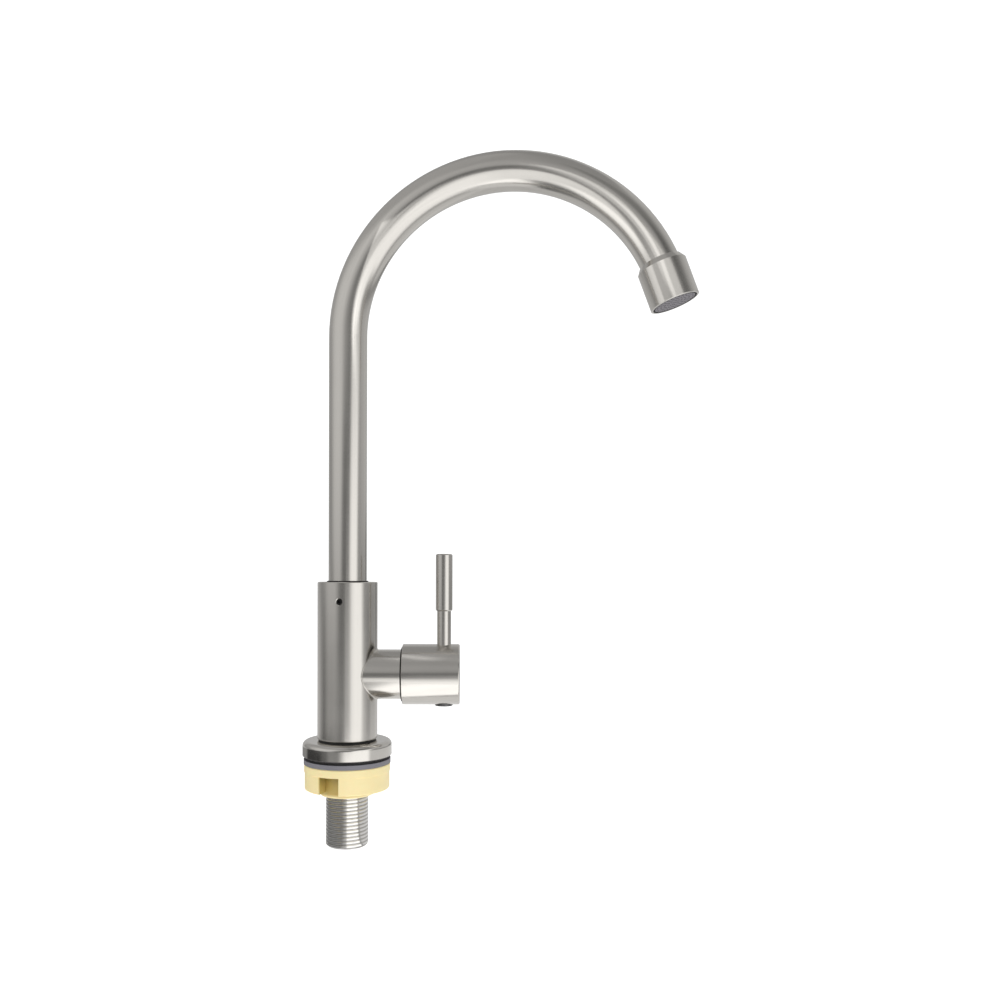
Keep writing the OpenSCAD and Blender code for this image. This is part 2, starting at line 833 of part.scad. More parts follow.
module outlet_nipple()
    color([0.68, 0.67, 0.65])
        on_outlet()
            difference() {
                union() {
                    turned(shell_bore_r - running_gap, nipple_l, top = edge_chamfer);
                    translate([0, 0, -nipple_spigot_l])
                        cylinder(r = nipple_spigot_r, h = nipple_spigot_l + joint_lap);
                }
                translate([0, 0, -nipple_spigot_l - overcut])
                    cylinder(r = nipple_bore_r, h = nipple_spigot_l + nipple_l + 2 * overcut);
            }

module aerator_shell()
    color([0.75, 0.74, 0.71])
        on_outlet(shell_s)
            difference() {
                union() {
                    turned(shell_r, shell_l, top = edge_break);
                    translate([0, 0, -shoulder_l])
                        cylinder(r1 = spout_r + loose_gap + shoulder_edge_w, r2 = shell_r, h = shoulder_l);
                }
                translate([0, 0, -shoulder_l - overcut])
                    cylinder(r = spout_r + loose_gap, h = shoulder_l + 2 * overcut);
                cylinder(r = shell_bore_r, h = shell_l - lip_h);
                cylinder(r = shell_mouth_r, h = shell_l + overcut);
            }

module aerator_washer()
    color([0.15, 0.15, 0.15])
        on_outlet(nipple_l)
            ring(cage_r, nipple_bore_r, aerator_washer_h);

module aerator_cage()
    color([0.07, 0.07, 0.07])
        on_outlet(cage_s)
            difference() {
                union() {
                    cylinder(r = cage_r, h = cage_end_s - cage_s);
                    cylinder(r = cage_nose_r, h = face_s - cage_s);
                }
                translate([0, 0, -overcut])
                    cylinder(r = cage_bore_r, h = screen_s - lip_h - cage_s + overcut);
                cylinder(r = cage_bore_r - cage_ledge_w, h = face_s - cage_s);
                translate([0, 0, screen_s - cage_s])
                    cylinder(r = cage_bore_r, h = screen_h + overcut);
            }

module aerator_diffuser()
    color([0.85, 0.85, 0.85])
        on_outlet(cage_s)
            difference() {
                cylinder(r = screen_r, h = diffuser_h);
                for (i = [0:diffuser_hole_count - 1])
                    rotate(i * 360 / diffuser_hole_count)
                        translate([diffuser_hole_r, 0, -overcut])
                            cylinder(d = diffuser_hole_d, h = diffuser_h + 2 * overcut);
            }

module aerator_screen()
    color([0.62, 0.62, 0.63])
        on_outlet(screen_s)
            difference() {
                cylinder(r = screen_r, h = screen_h);
                for (ring_no = [0:screen_rings], i = [0:max(0, 6 * ring_no - 1)])
                    rotate(i * 60 / max(1, ring_no))
                        translate([ring_no * screen_hole_step, 0, -overcut])
                            cylinder(d = screen_hole_d, h = screen_h + 2 * overcut);
            }

spout_tube();
spout_adapter();
spout_seals();
slip_ring();
retaining_screw();
valve_body();
foot_ring();
base_flange();
deck_gasket();
threaded_shank();
shank_seal();
clamp_washer();
lock_nut();
valve_insert();
insert_seal();
seat_seal();
fixed_disc();
turning_disc();
spindle();
spindle_seals();
spindle_clip();
thrust_washer();
glide_ring();
handle_hub();
lever();
clamp_screw();
hub_plug();
outlet_nipple();
aerator_shell();
aerator_washer();
aerator_cage();
aerator_diffuser();
aerator_screen();
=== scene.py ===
"""The look of a gooseneck bar faucet: its finishes, its cut thread and weld, and the studio round it.

Metres, in the frame of the CAD model: +Z up the body, +X towards the valve, -Y the front.
"""

import math

import bmesh
import bpy
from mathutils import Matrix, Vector


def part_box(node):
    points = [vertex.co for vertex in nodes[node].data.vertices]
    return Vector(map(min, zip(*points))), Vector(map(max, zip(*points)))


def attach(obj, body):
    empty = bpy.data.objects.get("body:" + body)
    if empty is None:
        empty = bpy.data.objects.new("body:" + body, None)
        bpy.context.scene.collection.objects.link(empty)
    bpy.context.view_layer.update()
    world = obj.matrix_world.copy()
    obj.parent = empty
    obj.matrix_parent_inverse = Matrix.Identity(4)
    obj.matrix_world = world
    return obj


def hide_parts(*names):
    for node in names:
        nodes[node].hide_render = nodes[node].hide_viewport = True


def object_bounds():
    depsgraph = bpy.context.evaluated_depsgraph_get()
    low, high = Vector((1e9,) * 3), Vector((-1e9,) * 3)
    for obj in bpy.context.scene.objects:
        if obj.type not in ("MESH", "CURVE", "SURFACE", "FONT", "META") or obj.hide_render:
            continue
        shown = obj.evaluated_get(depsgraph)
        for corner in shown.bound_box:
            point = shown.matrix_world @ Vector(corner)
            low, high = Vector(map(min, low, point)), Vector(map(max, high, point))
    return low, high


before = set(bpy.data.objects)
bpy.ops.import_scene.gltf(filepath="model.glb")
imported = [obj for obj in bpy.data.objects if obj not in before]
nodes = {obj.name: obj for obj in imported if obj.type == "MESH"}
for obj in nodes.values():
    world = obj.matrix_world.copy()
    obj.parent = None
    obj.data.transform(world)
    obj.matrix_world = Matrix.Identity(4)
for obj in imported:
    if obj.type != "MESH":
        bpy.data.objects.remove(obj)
cad_box = [list(corner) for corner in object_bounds()]

MM = 0.001
MICRON = 0.000001
DEGREES = 180 / math.pi

# The photograph's camera, close to the faucet and fitted to its outlines. It leans a little sideways.
CAMERA_PLACE = Vector((0.0608, -0.4723, 0.0922))
CAMERA_LEAN = math.radians(-0.117)
SENSOR = 36.0
PHOTO_PIXELS = 1000
FOCAL_PIXELS = 946.7
CENTRE_COLUMN = 469.6
HORIZON_ROW = 572.2

# Sizes and places that the look shares with the CAD model.
BODY_RADIUS = 14.9 * MM
NECK_RADIUS = 12.3 * MM
VALVE_HEIGHT = 41.3 * MM
BEND_RADIUS = 80 * MM
BEND_START = 208.8 * MM
SPOUT_SWING = math.radians(-6)
SHANK_BORE = 7.5 * MM
SHANK_FOOT_Z, SHANK_TOP_Z = (corner.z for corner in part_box("threaded_shank"))
THREAD_RADIUS = 10.4775 * MM
THREAD_PITCH = 1.814 * MM
THREAD_CHAMFER = 0.9 * MM
NUT_RIM = 21.0 * MM
NUT_DISC_THICKNESS = 4 * MM
NUT_FOOT_Z, NUT_TOP_Z = (corner.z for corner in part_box("lock_nut"))
NUT_DISC_Z = NUT_TOP_Z - NUT_DISC_THICKNESS
OUTLET_PLACE = Vector((0.1565, -0.0165, 0.2305))
ARC_PLACE = Vector((0.13, -0.014, 0.27))
LOWEST_Z = cad_box[0][2]

# The thread's look, with the photograph's broad crests and shallow grooves. Lands are shares of the pitch.
# Its mesh has sides round the shank and rows in each turn. The spare turns at each end close up on its rim.
THREAD_DEPTH = 0.62 * MM
CREST_LAND = 0.56
ROOT_LAND = 0.06
FLANK_CURVE = 0.35
THREAD_SIDES = 144
THREAD_ROWS = 16
SPARE_TURNS = 1.5
SAME_POINT = 0.1 * MICRON

# The bead of weld between the body and the neck.
BEAD_RADIUS = 0.4 * MM
BEAD_POINTS = 120
BEAD_SIDES = 10


class Value:
    """A socket that holds a number or a vector, with the arithmetic the finishes need."""

    def __init__(self, sheet, socket):
        self.sheet = sheet
        self.socket = socket

    def _math(self, operation, *values):
        return self.sheet.node("ShaderNodeMath", {"operation": operation}, *values)

    def __add__(self, other):
        return self._math("ADD", self, other)

    def __radd__(self, other):
        return self._math("ADD", other, self)

    def __sub__(self, other):
        return self._math("SUBTRACT", self, other)

    def __rsub__(self, other):
        return self._math("SUBTRACT", other, self)

    def __mul__(self, other):
        return self._math("MULTIPLY", self, other)

    def __rmul__(self, other):
        return self._math("MULTIPLY", other, self)

    def __truediv__(self, other):
        return self._math("DIVIDE", self, other)

    def root(self):
        return self._math("SQRT", self)

    def angle_from(self, other):
        """The angle whose tangent is this over the other, in radians."""
        return self._math("ARCTAN2", self, other)

    def arcsine(self):
        return self._math("ARCSINE", self)

    def above(self, limit):
        return self._math("GREATER_THAN", self, limit)

    def step(self, before, after):
        """0 before the one limit and 1 after the other, whichever is higher, smooth between them."""
        low, high = sorted((before, after))
        ends = {"To Min": 0.0 if before < after else 1.0, "To Max": 1.0 if before < after else 0.0}
        names = {"Value": self, "From Min": low, "From Max": high, **ends}
        return self.sheet.node("ShaderNodeMapRange", {"interpolation_type": "SMOOTHSTEP"}, **names)


class Sheet:
    """A node tree that is filled through one method."""

    def __init__(self, tree):
        self.tree = tree

    def node(self, kind, settings, *values, output=0, **named):
        """Adds a node, applies its settings, then its sockets' values or links."""
        made = self.tree.nodes.new(kind)
        for key, setting in settings.items():
            setattr(made, key, setting)
        filled = list(zip(range(len(values)), values)) + list(named.items())
        for key, value in filled:
            self.fill(made.inputs[key], value)
        return Value(self, made.outputs[output])

    def fill(self, socket, value):
        """Links a value to a socket, or sets a constant on it."""
        if isinstance(value, Value):
            self.tree.links.new(value.socket, socket)
        else:
            socket.default_value = value

    def split(self, vector):
        """A vector's three numbers."""
        outputs = self.node("ShaderNodeSeparateXYZ", {}, vector).socket.node.outputs
        return [Value(self, outputs[i]) for i in range(3)]

    def join(self, x, y, z):
        return self.node("ShaderNodeCombineXYZ", {}, x, y, z)

    def blend(self, share, first, second):
        """From the first colour to the second as share goes from 0 to 1."""
        mix = self.node("ShaderNodeMix", {"data_type": "RGBA"}).socket.node
        for socket, value in zip((mix.inputs[0], mix.inputs[6], mix.inputs[7]), (share, first, second)):
            self.fill(socket, value)
        return Value(self, mix.outputs[2])

    def noise(self, place, scale, detail=2.0, roughness=0.5):
        """Soft noise, about 0.5, at so many patches a metre."""
        names = {"Vector": place, "Scale": scale, "Detail": detail, "Roughness": roughness}
        return self.node("ShaderNodeTexNoise", {"noise_dimensions": "3D"}, **names)


class Finish(Sheet):
    """A material of one shader. Constants go on the shader's own sockets."""

    def __init__(self, name, **constants):
        self.material = bpy.data.materials.new(name)
        self.material.use_nodes = True
        super().__init__(self.material.node_tree)
        self.shader = self.tree.nodes["Principled BSDF"]
        for key, value in constants.items():
            self.shader.inputs[key.replace("_", " ")].default_value = value
        self.place = self.node("ShaderNodeTexCoord", {}, output="Object")

    def set(self, name, value):
        self.fill(self.shader.inputs[name], value)

    def relief(self, height, depth):
        """Fine relief of so many metres."""
        names = {"Strength": 1.0, "Distance": depth, "Height": height}
        self.set("Normal", self.node("ShaderNodeBump", {}, **names))


def tone(red, green, blue):
    return (red, green, blue, 1.0)


def bearing_of(x, y):
    """The bearing of a place or a direction from the front, in degrees, positive to the right."""
    return x.angle_from(0 - y) * DEGREES


# ---------------------------------------------------------------- finishes

# Brushed steel. Its marks are this far apart along the axis, and so many a metre round it and outward.
BRUSH_SPACING = 0.25 * MM
MARKS_ROUND = 40.0
MARKS_OUTWARD = 200.0
BRUSH_DEPTH = 3 * MICRON
STEEL_DULL = tone(0.59, 0.569, 0.535)
STEEL_BRIGHT = tone(0.65, 0.627, 0.589)
STEEL_CLOUDS = 90.0
SATIN = 0.19
MARKS_GLOSS = 0.06
CLOUDS_GLOSS = 0.05

# Turned metal and moulded skins: patches a metre, depth of relief, and how far the roughness varies.
METAL_PATCHES = 600.0
METAL_RELIEF = 2 * MICRON
METAL_GLOSS = 0.12
SKIN_PATCHES = 900.0
SKIN_CLOUDS = 60.0
SKIN_RELIEF = 6 * MICRON
SKIN_GLOSS = 0.15

# The nut is cream, with painted shade in ochre where it lies back from the rim, in the recesses that its
# lugs and disc shade. The painted shade starts and is full at these depths inside the rim and heights above
# the foot, and it lightens over this distance below the disc, as a painted shadow that is darkest under the
# disc.
CREAM_DEEP = tone(0.86, 0.72, 0.36)
CREAM_LIGHT = tone(0.92, 0.79, 0.44)
SHADE_OCHRE_DARK = tone(0.36, 0.27, 0.07)
SHADE_OCHRE_LIGHT = tone(0.52, 0.39, 0.12)
SHADE_STARTS_INSIDE = 0.4 * MM
SHADE_FULL_INSIDE = 1.6 * MM
SHADE_STARTS_ABOVE = 0.2 * MM
SHADE_FULL_ABOVE = 2.4 * MM
SHADE_LIGHTENS_OVER = 6 * MM


def brush_marks(finish, across, up, along):
    """Fine marks that run round an axis: quick changes along it and slow ones round it."""
    radius = (across * across + up * up).root()
    turn = across.angle_from(up)
    place = finish.join(turn * radius * MARKS_ROUND, radius * MARKS_OUTWARD, along / BRUSH_SPACING)
    return finish.noise(place, 1.0, detail=3.0, roughness=0.6)


def brushed_steel(finish, marks, roughness, relief):
    """Gives a finish the tones, gloss and relief that its brush marks call for."""
    cloud = finish.noise(finish.place, STEEL_CLOUDS)
    finish.set("Base Color", finish.blend(marks * 0.5 + cloud * 0.5, STEEL_DULL, STEEL_BRIGHT))
    finish.set("Roughness", roughness + (marks - 0.5) * MARKS_GLOSS + (cloud - 0.5) * CLOUDS_GLOSS)
    finish.relief(marks, relief)
    return finish.material


def upright_stainless(name, roughness=SATIN, relief=BRUSH_DEPTH):
    """Stainless steel, brushed round the body's upright axis."""
    finish = Finish(name, Metallic=1.0)
    x, y, z = finish.split(finish.place)
    return brushed_steel(finish, brush_marks(finish, x, y, z), roughness, relief)


def level_stainless(name):
    """Satin stainless steel, brushed round the valve's level axis."""
    finish = Finish(name, Metallic=1.0)
    x, y, z = finish.split(finish.place)
    return brushed_steel(finish, brush_marks(finish, y, z - VALVE_HEIGHT, x), SATIN, BRUSH_DEPTH)


def tube_stainless(name):
    """Satin stainless steel on the bent tube, brushed round the tube's own line."""
    finish = Finish(name, Metallic=1.0)
    x, y, z = finish.split(finish.place)
    reach = x * math.cos(SPOUT_SWING) + y * math.sin(SPOUT_SWING)
    side = y * math.cos(SPOUT_SWING) - x * math.sin(SPOUT_SWING)
    bent = z.above(BEND_START)
    inward = BEND_RADIUS - reach
    rise = (z - BEND_START) * bent
    radius = (inward * inward + rise * rise).root()
    swept = rise.angle_from(inward)
    along = z * (1 - bent) + (BEND_START + swept * BEND_RADIUS) * bent
    marks = brush_marks(finish, side, BEND_RADIUS - radius, along)
    return brushed_steel(finish, marks, SATIN, BRUSH_DEPTH)


def plain_metal(name, low, high, roughness):
    """Turned metal with a little colour and gloss variation."""
    finish = Finish(name, Metallic=1.0)
    cloud = finish.noise(finish.place, METAL_PATCHES, detail=3.0)
    finish.set("Base Color", finish.blend(cloud, low, high))
    finish.set("Roughness", roughness + (cloud - 0.5) * METAL_GLOSS)
    finish.relief(cloud, METAL_RELIEF)
    return finish.material


def moulded_skin(finish, roughness):
    """Gives a finish a moulded skin's gloss and relief. Returns the share of its lighter tone."""
    skin = finish.noise(finish.place, SKIN_PATCHES, detail=4.0)
    cloud = finish.noise(finish.place, SKIN_CLOUDS)
    finish.set("Roughness", roughness + (skin - 0.5) * SKIN_GLOSS)
    finish.relief(skin, SKIN_RELIEF)
    return skin * 0.4 + cloud * 0.6


def moulded(name, low, high, roughness, **constants):
    """Moulded rubber, plastic or fired ceramic, with a fine skin."""
    finish = Finish(name, **constants)
    finish.set("Base Color", finish.blend(moulded_skin(finish, roughness), low, high))
    return finish.material


def nut_plastic(name):
    """Cream nylon, with painted ochre shade where it lies back from the nut's rim and under its disc."""
    finish = Finish(name, Subsurface_Weight=0.1, Subsurface_Scale=2 * MM)
    x, y, z = finish.split(finish.place)
    radius = (x * x + y * y).root()
    cream = finish.blend(moulded_skin(finish, 0.38), CREAM_DEEP, CREAM_LIGHT)
    # Painted shade: darkest just under the disc and lighter lower down, only where set back from the rim and
    # above the foot.
    below_disc = z.step(NUT_DISC_Z, NUT_DISC_Z - SHADE_LIGHTENS_OVER)
    painted_shade = finish.blend(below_disc, SHADE_OCHRE_DARK, SHADE_OCHRE_LIGHT)
    shaded_recess = radius.step(NUT_RIM - SHADE_STARTS_INSIDE, NUT_RIM - SHADE_FULL_INSIDE)
    above_foot = z.step(NUT_FOOT_Z + SHADE_STARTS_ABOVE, NUT_FOOT_Z + SHADE_FULL_ABOVE)
    finish.set("Base Color", finish.blend(shaded_recess * above_foot, cream, painted_shade))
    return finish.material


finishes = {
    "tube": tube_stainless("tube_stainless"),
    "upright": upright_stainless("upright_stainless"),
    "level": level_stainless("level_stainless"),
    "polished": upright_stainless("polished_stainless", roughness=0.12, relief=1.2 * MICRON),
    "thread": plain_metal("cut_steel", tone(0.60, 0.59, 0.57), tone(0.70, 0.69, 0.67), 0.14),
    "dark_steel": plain_metal("dark_steel", tone(0.10, 0.10, 0.10), tone(0.16, 0.16, 0.16), 0.35),
    "black_steel": plain_metal("black_steel", tone(0.02, 0.02, 0.02), tone(0.05, 0.05, 0.05), 0.4),
    "brass": plain_metal("brass", tone(0.68, 0.50, 0.22), tone(0.80, 0.62, 0.32), 0.22),
    "screen": plain_metal("screen_steel", tone(0.30, 0.285, 0.31), tone(0.40, 0.385, 0.41), 0.55),
    "black_rubber": moulded("black_rubber", tone(0.012, 0.012, 0.012), tone(0.03, 0.03, 0.03), 0.6),
    "grey_rubber": moulded("grey_rubber", tone(0.16, 0.155, 0.18), tone(0.21, 0.205, 0.23), 0.6),
    "black_plastic": moulded("black_plastic", tone(0.006, 0.006, 0.006), tone(0.014, 0.014, 0.014), 0.6,
                             Specular_IOR_Level=0.15),
    "white_plastic": moulded("white_plastic", tone(0.72, 0.72, 0.70), tone(0.80, 0.80, 0.78), 0.4),
    "ceramic": moulded("ceramic", tone(0.80, 0.79, 0.76), tone(0.88, 0.87, 0.84), 0.2),
    "cream_plastic": nut_plastic("nut_plastic"),
}

finish_of = {
    "spout_tube": "tube", "aerator_shell": "tube", "valve_body": "upright", "handle_hub": "level",
    "lever": "upright", "base_flange": "polished", "outlet_nipple": "polished",
    "threaded_shank": "thread", "retaining_screw": "black_steel", "spindle_clip": "dark_steel",
    "clamp_screw": "dark_steel", "hub_plug": "dark_steel", "spout_adapter": "brass",
    "valve_insert": "brass", "spindle": "brass", "aerator_screen": "screen",
    "spout_seals": "black_rubber", "foot_ring": "black_rubber", "deck_gasket": "black_rubber",
    "shank_seal": "black_rubber", "insert_seal": "black_rubber", "seat_seal": "black_rubber",
    "spindle_seals": "black_rubber", "aerator_washer": "black_rubber", "clamp_washer": "grey_rubber",
    "lock_nut": "cream_plastic", "slip_ring": "black_plastic", "glide_ring": "black_plastic",
    "aerator_cage": "black_plastic", "thrust_washer": "white_plastic",
    "aerator_diffuser": "white_plastic", "fixed_disc": "ceramic", "turning_disc": "ceramic",
}

for node_name, finish_name in finish_of.items():
    node_materials = nodes[node_name].data.materials
    node_materials.clear()
    node_materials.append(finishes[finish_name])


# ---------------------------------------------------------------- the shank's cut thread, and the weld


def solid_piece(name, mesh, smooth_below=30.0):
    """Makes a bmesh an object, smooth but for its sharp edges."""
    bmesh.ops.recalc_face_normals(mesh, faces=mesh.faces)
    limit = math.radians(smooth_below)
    for face in mesh.faces:
        face.smooth = True
    for edge in mesh.edges:
        edge.smooth = len(edge.link_faces) == 2 and edge.calc_face_angle(0.0) < limit
    data = bpy.data.meshes.new(name)
    mesh.to_mesh(data)
    mesh.free()
    piece = bpy.data.objects.new(name, data)
    bpy.context.scene.collection.objects.link(piece)
    return piece


def thread_radius(turns):
    """The thread's radius at so many turns along the shank from the middle of a crest."""
    place = turns % 1.0
    away = min(place, 1.0 - place)
    share = (away - CREST_LAND / 2) / (0.5 - CREST_LAND / 2 - ROOT_LAND / 2)
    share = min(max(share, 0.0), 1.0)
    curved = share * share * (3 - 2 * share)
    return THREAD_RADIUS - THREAD_DEPTH * (curved * FLANK_CURVE + share * (1 - FLANK_CURVE))


def thread_column(mesh, side, row_count, low, high):
    """The thread's points on one side of the shank, from foot to top, climbing with the helix."""
    turn = 2 * math.pi * side / THREAD_SIDES
    first = low - SPARE_TURNS * THREAD_PITCH
    column = []
    for row in range(row_count + 1):
        z = first + THREAD_PITCH * (row / THREAD_ROWS + side / THREAD_SIDES)
        z = min(max(z, low), high)
        from_end = min(z - low, high - z)
        turns = (z - low) / THREAD_PITCH - side / THREAD_SIDES
        limit = THREAD_RADIUS - max(THREAD_CHAMFER - from_end, 0.0)
        radius = min(thread_radius(turns), limit)
        column.append(mesh.verts.new((radius * math.cos(turn), radius * math.sin(turn), z)))
    return column


def bore_edges(mesh, side, low, high):
    """The two ends of the bore on one side of the shank."""
    turn = 2 * math.pi * side / THREAD_SIDES
    x, y = SHANK_BORE * math.cos(turn), SHANK_BORE * math.sin(turn)
    return [mesh.verts.new((x, y, z)) for z in (low, high)]


def cut_thread(name, low, high):
    """A hollow shank whose thread is one right-hand helix, chamfered at both ends."""
    mesh = bmesh.new()
    row_count = int((high - low) / THREAD_PITCH + 2 * SPARE_TURNS) * THREAD_ROWS
    columns = [thread_column(mesh, side, row_count, low, high) for side in range(THREAD_SIDES)]
    bores = [bore_edges(mesh, side, low, high) for side in range(THREAD_SIDES)]
    for side in range(THREAD_SIDES):
        after = (side + 1) % THREAD_SIDES
        shift = THREAD_ROWS if after == 0 else 0
        near, far = columns[side], columns[after]
        for row in range(row_count - shift):
            mesh.faces.new((near[row], far[row + shift], far[row + shift + 1], near[row + 1]))
        mesh.faces.new((bores[side][0], bores[after][0], far[0], near[0]))
        mesh.faces.new((bores[side][1], near[-1], far[-1], bores[after][1]))
        mesh.faces.new((bores[side][0], bores[side][1], bores[after][1], bores[after][0]))
    bmesh.ops.remove_doubles(mesh, verts=mesh.verts, dist=SAME_POINT)
    bmesh.ops.dissolve_degenerate(mesh, edges=mesh.edges, dist=SAME_POINT)
    return solid_piece(name, mesh)


def bead_ring(mesh, turn):
    """One ring of the bead, square to the seam, at a turn round the neck."""
    outward = Vector((0, math.sin(turn), math.cos(turn)))
    y, z = NECK_RADIUS * outward.y, NECK_RADIUS * outward.z
    seam = Vector((math.sqrt(BODY_RADIUS ** 2 - y ** 2), y, VALVE_HEIGHT + z))
    along = Vector((-y * z / seam.x, z, -y)).normalized()
    from_body = Vector((seam.x, seam.y, 0)).normalized()
    across = along.cross((from_body + outward).normalized()).normalized()
    proud = across.cross(along)
    ring = []
    for side in range(BEAD_SIDES):
        angle = 2 * math.pi * side / BEAD_SIDES
        spoke = proud * math.cos(angle) + across * math.sin(angle)
        ring.append(mesh.verts.new(seam + spoke * BEAD_RADIUS))
    return ring


def weld_bead(name):
    """A fine polished bead along the seam of the neck and the upright body."""
    mesh = bmesh.new()
    rings = [bead_ring(mesh, 2 * math.pi * point / BEAD_POINTS) for point in range(BEAD_POINTS)]
    for near, far in zip(rings, rings[1:] + rings[:1]):
        for side in range(BEAD_SIDES):
            after = (side + 1) % BEAD_SIDES
            mesh.faces.new((near[side], near[after], far[after], far[side]))
    return solid_piece(name, mesh, smooth_below=60.0)


bead = weld_bead("weld_bead")
bead.data.materials.append(finishes["polished"])
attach(bead, "body")

shank = cut_thread("cut_shank", SHANK_FOOT_Z, SHANK_TOP_Z)
shank.data.materials.append(finishes["thread"])
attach(shank, "body")
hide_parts("threaded_shank")


# ---------------------------------------------------------------- studio

# Brightness of what the camera sees behind the faucet, and of each panel of light that the steel mirrors.
# Most of the panels' brightness values and edges come from a program's fit to the photograph, rounded.
BACKDROP = 1.2
BACK_WALL_HIGH = 0.54
BACK_WALL_LOW = 0.65
WALL_LEFT_HIGH = 0.48
WALL_MIDDLE_HIGH = 0.35
WALL_RIGHT_HIGH = 0.25
WALL_LEFT = 0.76
WALL_LEFT_LOW = 0.3
WALL_RIGHT = 0.33
WALL_RIGHT_UP = 0.58
WALL_RIGHT_DOWN = 0.73
CEILING_BOX = 1.2
TABLE_LEFT = 1.04
TABLE_RIGHT = 1.37
TABLE_EDGE = 0.05
SOFT_BOX = 1.38
CURTAIN = 0.19
CURTAIN_SIDE = 0.12
FLAG_LEFT = 0.2
FLAG_RIGHT = 0.23
FLAG_HIGH = 0.14

# The panels hang in soft folds so many degrees wide. The screens round the shank have ripples.
FOLD_WIDTH = 7
FOLD_CONTRAST = 0.5
RIPPLE_WIDTH = 25
RIPPLES_UP = 300
RIPPLE_CONTRAST = 0.3

FLOOR_SIZE = 8.0
FLOOR_Z = LOWEST_Z - 0.2 * MM
PAPER_Z = LOWEST_Z + 0.1 * MM
LOW_SCREEN_TOP = -18 * MM
SCREEN_SIDES = 72
LAMP_DISTANCE = 140 * MM


def camera():
    """The photograph's camera: it looks along +Y, shifted to the photograph's horizon and centre."""
    lens = bpy.data.cameras.new("camera")
    lens.sensor_width = SENSOR
    lens.lens = FOCAL_PIXELS / PHOTO_PIXELS * SENSOR
    lens.shift_x = (PHOTO_PIXELS / 2 - CENTRE_COLUMN) / PHOTO_PIXELS
    lens.shift_y = (HORIZON_ROW - PHOTO_PIXELS / 2) / PHOTO_PIXELS
    eye = bpy.data.objects.new("camera", lens)
    eye.location = CAMERA_PLACE
    eye.rotation_euler = (math.pi / 2, CAMERA_LEAN, 0)
    bpy.context.scene.collection.objects.link(eye)
    bpy.context.scene.camera = eye


def between(value, low, high, soft):
    """1 from low to high, with soft edges."""
    return value.step(low - soft, low + soft) * (1 - value.step(high - soft, high + soft))


def laid_over(light, panel, mask):
    """The light, with a panel laid over it where the mask is 1."""
    return light + (panel - light) * mask


def walls_in_front(light, bearing, height, y):
    """The upper walls and the ceiling box in front of the faucet, and a dark flag on the right."""
    ahead = y.step(0.76, 0.7)
    light = laid_over(light, WALL_MIDDLE_HIGH, ahead * height.step(-2, 1))
    light = laid_over(light, WALL_LEFT_HIGH, ahead * between(bearing, -145, -8, 40) * height.step(1, 22))
    light = laid_over(light, WALL_RIGHT_HIGH, between(bearing, 9, 88, 4) * between(height, -1, 56, 2))
    light = laid_over(light, CEILING_BOX, between(bearing, 15, 24, 24) * between(height, 18, 39, 7))
    return laid_over(light, FLAG_HIGH, between(bearing, 24, 98, 33) * between(height, -1, 42, 2))


def walls_beside(light, bearing, height):
    """The walls to the left and right, level with the faucet, and a dark flag at the back right."""
    light = laid_over(light, WALL_LEFT, between(bearing, -95, -19, 20) * between(height, -2, 38, 10))
    light = laid_over(light, WALL_LEFT_LOW, between(bearing, -100, -11, 2) * between(height, -12, -4, 5))
    light = laid_over(light, WALL_RIGHT, between(bearing, 52, 134, 2) * between(height, -9, 6, 1))
    light = laid_over(light, WALL_RIGHT_UP, between(bearing, 78, 201, 37) * between(height, 1, 62, 4))
    light = laid_over(light, WALL_RIGHT_DOWN, between(bearing, 47, 157, 2) * height.step(-4, -10))
    return laid_over(light, FLAG_RIGHT, between(bearing, 138, 157, 4) * between(height, -6, 3, 1))


def table_below(light, bearing, height, y):
    """The white table, brighter to the right, its dark back edge, and a dark flag on the left."""
    table = TABLE_LEFT + (TABLE_RIGHT - TABLE_LEFT) * bearing.step(-55, 35)
    light = laid_over(light, table, height.step(-10, -17) * y.step(0.05, 0.01))
    light = laid_over(light, TABLE_EDGE, between(y, 0.03, 0.1, 0.3) * height.step(1, -4))
    return laid_over(light, FLAG_LEFT, between(bearing, -114, -90, 30) * between(height, -81, 0, 1))


def round_the_camera(light, bearing, height):
    """The soft box to the right of the camera, leaning over, and the dark curtain round the camera."""
    leaned = bearing - 16 * height.step(0, 17)
    box = leaned.step(6, 24) * leaned.step(76, 54) * between(height, -22, 16, 14)
    curtain = leaned.step(-44, -18) * leaned.step(1, -6) * between(height, -11, 10, 3)
    light = laid_over(light, SOFT_BOX, box)
    light = laid_over(light, CURTAIN, curtain)
    return laid_over(light, CURTAIN_SIDE, between(leaned, 10, 12, 23) * between(height, -22, 17, 1))


def studio_light(bearing, height, y):
    """The studio's brightness in a direction: bearing and height in degrees, and y its share backward."""
    light = laid_over(BACK_WALL_LOW, BACK_WALL_HIGH, height.step(-9, 1))
    light = walls_in_front(light, bearing, height, y)
    light = walls_beside(light, bearing, height)
    light = table_below(light, bearing, height, y)
    return round_the_camera(light, bearing, height)


def surroundings():
    """White behind the faucet, and for its reflections a soft studio of light and dark panels."""
    world = bpy.data.worlds.new("studio")
    world.use_nodes = True
    sheet = Sheet(world.node_tree)
    x, y, z = sheet.split(sheet.node("ShaderNodeTexCoord", {}, output="Generated"))
    bearing = bearing_of(x, y)
    height = z.arcsine() * DEGREES
    folds = sheet.noise(sheet.join(bearing / FOLD_WIDTH, z, 0), 1.0, detail=2.0, roughness=0.6)
    studio = studio_light(bearing, height, y) * (1 + (folds - 0.5) * FOLD_CONTRAST)
    seen = sheet.node("ShaderNodeLightPath", {}, output="Is Camera Ray")
    brightness = laid_over(studio, BACKDROP, seen)
    background = world.node_tree.nodes["Background"]
    sheet.fill(background.inputs["Color"], sheet.join(brightness, brightness, brightness))
    bpy.context.scene.world = world


